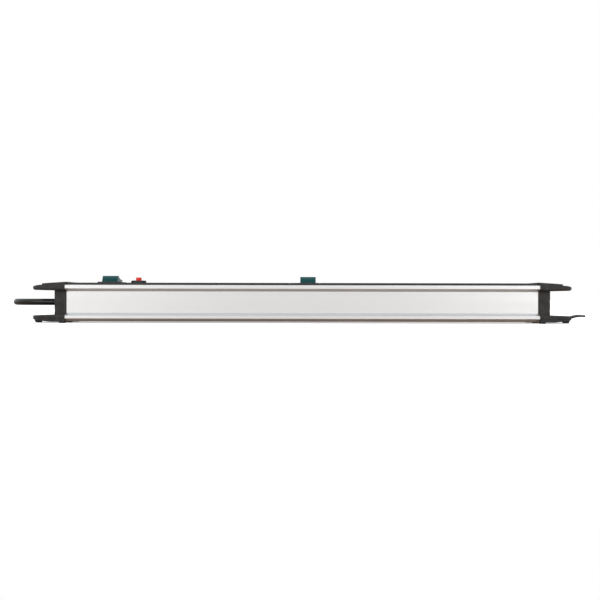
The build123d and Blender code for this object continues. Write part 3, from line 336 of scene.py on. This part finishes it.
# lines left along the metal by the extrusion die, and broad bands between them
def makeDrawnLines():
    tree, given, out = startGroup(
        "drawnLines",
        [("Vector", "Vector", None), ("Stretch", "Vector", (8, 1100, 1100))],
        [("Height", "Float"), ("Band", "Float")],
    )
    drawn = put(tree, "VectorMath", (-500, 100), operation="MULTIPLY")
    tree.links.new(given["Vector"], drawn.inputs[0])
    tree.links.new(given["Stretch"], drawn.inputs[1])
    fine = put(tree, "TexNoise", (-200, 200), {
        "Vector": drawn.outputs[0], "Scale": 1, "Detail": 3})
    broad = put(tree, "TexNoise", (-200, -100), {
        "Vector": drawn.outputs[0], "Scale": 0.12, "Detail": 2})
    spread = put(tree, "MapRange", (100, -100), {"Value": broad.outputs["Fac"]} | eitherWay)
    tree.links.new(fine.outputs["Fac"], out["Height"])
    tree.links.new(spread.outputs["Result"], out["Band"])
    return tree


# a rounded normal at each edge, and a mask of edges made lighter, partly rubbed wear and partly a
# painted highlight
def makeEdgeWearAndHighlight():
    tree, given, out = startGroup(
        "edgeWearAndHighlight",
        [("Vector", "Vector", None), ("Radius", "Float", 0.0004), ("Reach", "Float", 3)],
        [("Mask", "Float"), ("Normal", "Vector")],
    )
    rounded = put(tree, "Bevel", (-500, 200), {"Radius": given["Radius"]}, samples=4)
    flat = put(tree, "NewGeometry", (-500, -50))
    match = put(tree, "VectorMath", (-250, 100), operation="DOT_PRODUCT")
    tree.links.new(rounded.outputs[0], match.inputs[0])
    tree.links.new(flat.outputs["Normal"], match.inputs[1])
    turned = put(tree, "Math", (-50, 100), {0: 1.0, 1: match.outputs["Value"]},
                 operation="SUBTRACT")
    reach = put(tree, "Math", (100, 100), {0: turned.outputs[0], 1: given["Reach"]},
                operation="MULTIPLY")
    patches = put(tree, "TexNoise", (-250, -250), {
        "Vector": given["Vector"], "Scale": 180, "Detail": 3})
    mask = put(tree, "Math", (300, 50), {0: reach.outputs[0], 1: patches.outputs["Fac"]},
               operation="MULTIPLY", use_clamp=True)
    tree.links.new(mask.outputs[0], out["Mask"])
    tree.links.new(rounded.outputs[0], out["Normal"])
    return tree


# a little dust on what faces up
def makeSoftDust():
    tree, given, out = startGroup(
        "softDust",
        [("Vector", "Vector", None), ("Amount", "Float", 0.1)],
        [("Mask", "Float")],
    )
    facing = put(tree, "NewGeometry", (-600, 100))
    parts = put(tree, "SeparateXYZ", (-400, 100), {"Vector": facing.outputs["Normal"]})
    up = put(tree, "MapRange", (-200, 100), {"Value": parts.outputs["Z"], "From Min": 0.2})
    specks = put(tree, "TexNoise", (-400, -150), {
        "Vector": given["Vector"], "Scale": 420, "Detail": 5})
    drifts = put(tree, "TexNoise", (-400, -400), {
        "Vector": given["Vector"], "Scale": 28, "Detail": 2})
    both = put(tree, "Math", (-150, -200), {0: specks.outputs["Fac"], 1: drifts.outputs["Fac"]},
               operation="MULTIPLY")
    lies = put(tree, "Math", (50, 0), {0: both.outputs[0], 1: up.outputs["Result"]},
               operation="MULTIPLY")
    mask = put(tree, "Math", (250, 0), {0: lies.outputs[0], 1: given["Amount"]},
               operation="MULTIPLY", use_clamp=True)
    tree.links.new(mask.outputs[0], out["Mask"])
    return tree


mouldGrain = makeMouldGrain()
drawnLines = makeDrawnLines()
edgeWearAndHighlight = makeEdgeWearAndHighlight()
softDust = makeSoftDust()
print("shared effects built")


def startMaterial(name):
    material = bpy.data.materials.new(name)
    material.use_nodes = True
    tree = material.node_tree
    tree.nodes.clear()
    shader = put(tree, "BsdfPrincipled", (600, 0))
    put(tree, "OutputMaterial", (900, 0), {"Surface": shader.outputs[0]})
    where = put(tree, "TexCoord", (-900, 0)).outputs["Object"]
    return material, tree, shader, where


def mixColour(tree, at, share, first, second):
    node = put(tree, "Mix", at, {"Factor": share}, data_type="RGBA")
    for socket, value in ((node.inputs[6], first), (node.inputs[7], second)):
        if isinstance(value, bpy.types.NodeSocket):
            tree.links.new(value, socket)
        else:
            socket.default_value = (*value, 1)
    return node.outputs[2]


# base value plus a share of a slow change
def vary(tree, at, change, amount, base, clamp=True):
    return put(tree, "Math", at, {0: change, 1: amount, 2: base}, operation="MULTIPLY_ADD",
               use_clamp=clamp).outputs[0]


# the grain and the lighter edges of a finish, partly rubbed wear and partly a painted highlight
def grainAndEdge(tree, where, s, grainAt=(-600, 200)):
    grain = useGroup(tree, mouldGrain, grainAt, {
        "Vector": where, "Grain": s["grain"], "Mottle Scale": s["mottleScale"]})
    edge = useGroup(tree, edgeWearAndHighlight, (-600, -50), {
        "Vector": where, "Radius": s["edgeRadius"], "Reach": s["edgeReach"]})
    return grain, edge


def addBump(tree, shader, strength, distance, height, normal):
    bump = put(tree, "Bump", (200, -200), {
        "Strength": strength, "Distance": distance, "Height": height, "Normal": normal})
    tree.links.new(bump.outputs[0], shader.inputs["Normal"])


def mouldedFinish(name, s):
    material, tree, shader, where = startMaterial(name)
    grain, edge = grainAndEdge(tree, where, s)
    dust = useGroup(tree, softDust, (-600, -300), {"Vector": where, "Amount": s["dust"]})
    # edges lighter: partly wear, partly a painted highlight
    wornAndHighlit = mixColour(tree, (-200, 200), edge["Mask"], s["colour"], s["edgeWearHighlightColour"])
    value = vary(tree, (-200, 400), grain["Mottle"], s["colourChange"], 1.0, clamp=False)
    shifted = put(tree, "HueSaturation", (0, 300), {"Color": wornAndHighlit, "Value": value})
    dusty = mixColour(tree, (200, 200), dust["Mask"], shifted.outputs[0], s["dustColour"])
    tree.links.new(dusty, shader.inputs["Base Color"])
    rough = vary(tree, (0, 0), grain["Mottle"], s["sheenChange"], s["roughness"])
    tree.links.new(vary(tree, (200, 0), dust["Mask"], 1.0, rough), shader.inputs["Roughness"])
    addBump(tree, shader, s["grainDepth"], s["grainReach"], grain["Height"], edge["Normal"])
    shader.inputs["Specular IOR Level"].default_value = s["shine"]
    shader.inputs["Coat Weight"].default_value = s["coat"]
    shader.inputs["Coat Roughness"].default_value = s["coatRoughness"]
    return material


def metalFinish(name, s):
    material, tree, shader, where = startMaterial(name)
    lines = useGroup(tree, drawnLines, (-600, 200), {"Vector": where, "Stretch": s["stretch"]})
    grain, edge = grainAndEdge(tree, where, s, grainAt=(-600, -300))
    stained = vary(tree, (-300, 400), grain["Mottle"], s["stain"], s["stain"] / 2)
    aged = mixColour(tree, (-100, 300), stained, s["colour"], s["stainColour"])
    # edges lighter: partly wear, partly a painted highlight
    bright = mixColour(tree, (100, 300), edge["Mask"], aged, s["edgeWearHighlightColour"])
    tree.links.new(bright, shader.inputs["Base Color"])
    rough = vary(tree, (0, 0), lines["Band"], s["bandChange"], s["roughness"])
    rougher = vary(tree, (200, 0), grain["Mottle"], s["sheenChange"], rough)
    tree.links.new(rougher, shader.inputs["Roughness"])
    shader.inputs["Metallic"].default_value = 1.0
    addBump(tree, shader, s["lineDepth"], s["lineReach"], lines["Height"], edge["Normal"])
    return material


def clearFinish(name, s):
    material, tree, shader, where = startMaterial(name)
    grain, edge = grainAndEdge(tree, where, s)
    # edges lighter: partly wear, partly a painted highlight
    wornAndHighlit = mixColour(tree, (-200, 200), edge["Mask"], s["colour"], s["edgeWearHighlightColour"])
    tree.links.new(wornAndHighlit, shader.inputs["Base Color"])
    rough = vary(tree, (0, 0), grain["Mottle"], s["sheenChange"], s["roughness"])
    tree.links.new(rough, shader.inputs["Roughness"])
    addBump(tree, shader, s["grainDepth"], s["grainReach"], grain["Height"], edge["Normal"])
    shader.inputs["Transmission Weight"].default_value = s["clear"]
    shader.inputs["IOR"].default_value = s["ior"]
    shader.inputs["Specular IOR Level"].default_value = s["shine"]
    return material


# green insulation with a yellow stripe
def stripedFinish(name, s):
    material = mouldedFinish(name, s)
    tree = material.node_tree
    shader = next(n for n in tree.nodes if n.type == "BSDF_PRINCIPLED")
    where = next(n for n in tree.nodes if n.type == "TEX_COORD").outputs["Object"]
    bands = put(tree, "TexWave", (0, 600), {
        "Vector": where, "Scale": s["stripeScale"], "Distortion": s["stripeWaver"]},
        bands_direction="DIAGONAL")
    start, full = s["stripeEdge"]
    stripe = put(tree, "MapRange", (200, 600), {
        "Value": bands.outputs["Fac"], "From Min": start, "From Max": full})
    below = shader.inputs["Base Color"].links[0].from_socket
    striped = mixColour(tree, (400, 500), stripe.outputs[0], below, s["stripe"])
    tree.links.new(striped, shader.inputs["Base Color"])
    return material


# each edge colour below is lighter than its body colour: partly rubbed wear, partly a painted
# highlight
plasticBase = {
    "grain": 1500, "grainDepth": 0.25, "mottleScale": 30, "colourChange": 0.25,
    "sheenChange": 0.12,
    "edgeRadius": 0.0004, "edgeReach": 1.5, "dust": 0.06, "edgeWearHighlightColour": (0.06, 0.06, 0.062),
    "shine": 0.5, "coat": 0.0, "coatRoughness": 0.12, "grainReach": 0.0002,
    "dustColour": (0.42, 0.41, 0.39),
}
metalBase = {
    "stretch": (8, 1100, 1100), "edgeRadius": 0.0002, "edgeReach": 1.0, "grain": 900,
    "mottleScale": 20,
    "stain": 0.1, "bandChange": 0.08, "sheenChange": 0.05, "lineDepth": 0.25, "lineReach": 0.0001,
}

finishes = {
    "anodised_aluminium": (metalFinish, metalBase | {
        "colour": (0.78, 0.785, 0.79), "stainColour": (0.7, 0.7, 0.7),
        "edgeWearHighlightColour": (0.86, 0.86, 0.87),
        "roughness": 0.4, "lineDepth": 0.35}),
    "cap_plastic": (mouldedFinish, plasticBase | {
        "colour": (0.034, 0.0325, 0.0315), "roughness": 0.5, "grain": 1100, "grainDepth": 0.4,
        "mottleScale": 130, "colourChange": 1.0, "sheenChange": 0.3, "shine": 0.25}),
    "cover_plastic": (mouldedFinish, plasticBase | {
        "colour": (0.0115, 0.0115, 0.0122), "roughness": 0.38, "grainDepth": 0.15}),
    "base_plastic": (mouldedFinish, plasticBase | {
        "colour": (0.5, 0.49, 0.46), "edgeWearHighlightColour": (0.6, 0.59, 0.56), "roughness": 0.5,
        "dust": 0.0}),
    "foot_rubber": (mouldedFinish, plasticBase | {
        "colour": (0.012, 0.012, 0.012), "roughness": 0.8, "grain": 2500, "dust": 0.1}),
    "cord_sheath": (mouldedFinish, plasticBase | {
        "colour": (0.008, 0.008, 0.0085), "roughness": 0.32, "grain": 800, "grainDepth": 0.12,
        "shine": 0.4}),
    "plug_plastic": (mouldedFinish, plasticBase | {
        "colour": (0.014, 0.014, 0.0145), "roughness": 0.42, "grainDepth": 0.2}),
    "pin_metal": (metalFinish, metalBase | {
        "colour": (0.76, 0.74, 0.7), "stainColour": (0.62, 0.6, 0.56),
        "edgeWearHighlightColour": (0.85, 0.84, 0.8),
        "roughness": 0.2, "stretch": (60, 1500, 1500)}),
    "screw_steel": (metalFinish, metalBase | {
        "colour": (0.6, 0.61, 0.63), "stainColour": (0.48, 0.47, 0.45),
        "edgeWearHighlightColour": (0.75, 0.75, 0.76),
        "roughness": 0.3, "stretch": (700, 700, 700), "stain": 0.3}),
    "brass": (metalFinish, metalBase | {
        "colour": (0.78, 0.58, 0.26), "stainColour": (0.5, 0.34, 0.14),
        "edgeWearHighlightColour": (0.9, 0.74, 0.42),
        "roughness": 0.28, "stretch": (40, 900, 900), "stain": 0.4}),
    "switch_plastic": (mouldedFinish, plasticBase | {
        "colour": (0.01, 0.01, 0.0105), "roughness": 0.22, "grainDepth": 0.04, "shine": 0.3}),
    "teal_plastic": (clearFinish, plasticBase | {
        "colour": (0.002, 0.083, 0.088), "edgeWearHighlightColour": (0.012, 0.2, 0.2), "roughness": 0.16,
        "grainDepth": 0.03, "clear": 0.35, "ior": 1.49, "shine": 0.1}),
    "lamp_glass": (clearFinish, plasticBase | {
        "colour": (0.5, 0.16, 0.09), "edgeWearHighlightColour": (0.6, 0.3, 0.2), "roughness": 0.1,
        "grainDepth": 0.02, "clear": 0.25, "ior": 1.5}),
    "red_plastic": (mouldedFinish, plasticBase | {
        "colour": (0.95, 0.025, 0.012), "edgeWearHighlightColour": (0.97, 0.1, 0.06), "roughness": 0.24,
        "grainDepth": 0.04, "shine": 0.3, "coat": 0.1}),
    "brown_insulation": (mouldedFinish, plasticBase | {
        "colour": (0.13, 0.05, 0.02), "edgeWearHighlightColour": (0.16, 0.07, 0.03), "roughness": 0.4,
        "dust": 0.0}),
    "blue_insulation": (mouldedFinish, plasticBase | {
        "colour": (0.02, 0.12, 0.42), "edgeWearHighlightColour": (0.04, 0.16, 0.5), "roughness": 0.4,
        "dust": 0.0}),
    "green_yellow_insulation": (stripedFinish, plasticBase | {
        "colour": (0.03, 0.3, 0.05), "edgeWearHighlightColour": (0.05, 0.36, 0.08), "roughness": 0.4,
        "dust": 0.0,
        "stripe": (0.78, 0.62, 0.03), "stripeScale": 60, "stripeWaver": 0.5,
        "stripeEdge": (0.55, 0.62)}),
}


# a slot's name in the record, as a material's name in this file
def materialName(slot):
    first, *others = slot.split("_")
    return first + "".join(word.capitalize() for word in others)


materials = {}
for slot, (finish, settings) in finishes.items():
    materials[slot] = finish(materialName(slot), settings)
for node in nodes.values():
    for held in node.material_slots:
        held.material = materials[held.material.name]
cord.data.materials.append(materials["cord_sheath"])
tie.data.materials.append(materials["cord_sheath"])
print("finishes given to", len(nodes), "nodes")


# floor, sky and lamps of the studio
studio = {
    "floorSize": 40.0,
    "floorColour": (0.97, 0.965, 0.96),
    "floorLight": 0.5,  # the floor is lit through from below, as a light table is
    "floorShade": 0.98,  # its darker patches over its colour
    "floorRoughness": 0.7,
    "floorReflectedShade": (0.36, 0.27, 0.21),  # painted shade: the floor's dark colour, seen only in reflections and bounce light
    "sky": (1.0, 1.0, 1.0),
    "skyGlow": (0.75, 0.775, 0.79),  # what the sky sends down
    "lamps": {
        "topLamp": {"place": (0.0, -0.3, 1.6), "size": (2.4, 1.0), "power": 6},
        "leftPanel": {"place": (-1.7, -2.2, 0.7), "size": (1.8, 1.4), "power": 15},
        "rightPanel": {"place": (1.7, -2.2, 0.7), "size": (1.8, 1.4), "power": 16},
        "frontPanel": {"place": (0.0, -2.6, 0.6), "size": (1.6, 1.2), "power": 3.5},
    },
}


def layFloor(s):
    half = s["floorSize"] / 2
    mesh = bpy.data.meshes.new("paleFloor")
    corners = [(-half, -half, 0), (half, -half, 0), (half, half, 0), (-half, half, 0)]
    mesh.from_pydata(corners, [], [(0, 1, 2, 3)])
    floor = bpy.data.objects.new("paleFloor", mesh)
    scene.collection.objects.link(floor)
    material, tree, shader, where = startMaterial("paleFloor")
    mottle = put(tree, "TexNoise", (-500, 0), {"Vector": where, "Scale": 3, "Detail": 3})
    shade = tuple(s["floorShade"] * part for part in s["floorColour"])
    pale = mixColour(tree, (-200, 100), mottle.outputs["Fac"], s["floorColour"], shade)
    seen = put(tree, "LightPath", (-200, 400)).outputs["Is Camera Ray"]
    # painted shade: the camera sees the pale floor, reflections and bounce light see it dark
    colour = mixColour(tree, (200, 0), seen, s["floorReflectedShade"], pale)
    tree.links.new(colour, shader.inputs["Base Color"])
    shader.inputs["Roughness"].default_value = s["floorRoughness"]
    lit = put(tree, "Math", (200, 300), {0: seen, 1: s["floorLight"]}, operation="MULTIPLY")
    tree.links.new(lit.outputs[0], shader.inputs["Emission Strength"])
    shader.inputs["Emission Color"].default_value = (1, 1, 1, 1)
    mesh.materials.append(material)


def hangLamps(s):
    for name, lamp in s["lamps"].items():
        data = bpy.data.lights.new(name, "AREA")
        data.shape = "RECTANGLE"
        data.size, data.size_y = lamp["size"]
        data.energy = lamp["power"]
        light = bpy.data.objects.new(name, data)
        light.location = lamp["place"]
        light.visible_camera = False
        x, y, z = lamp["place"]
        pitch = math.atan2(math.hypot(x, y), z)
        light.rotation_euler = (pitch, 0, math.atan2(y, x) + math.pi / 2)
        scene.collection.objects.link(light)


def lightSky(s):
    world = bpy.data.worlds.new("studioSky")
    world.use_nodes = True
    tree = world.node_tree
    seen = put(tree, "LightPath", (-400, 0)).outputs["Is Camera Ray"]
    shade = mixColour(tree, (-200, 0), seen, s["skyGlow"], s["sky"])
    tree.links.new(shade, tree.nodes["Background"].inputs["Color"])
    scene.world = world


layFloor(studio)
hangLamps(studio)
lightSky(studio)
print("studio lit")
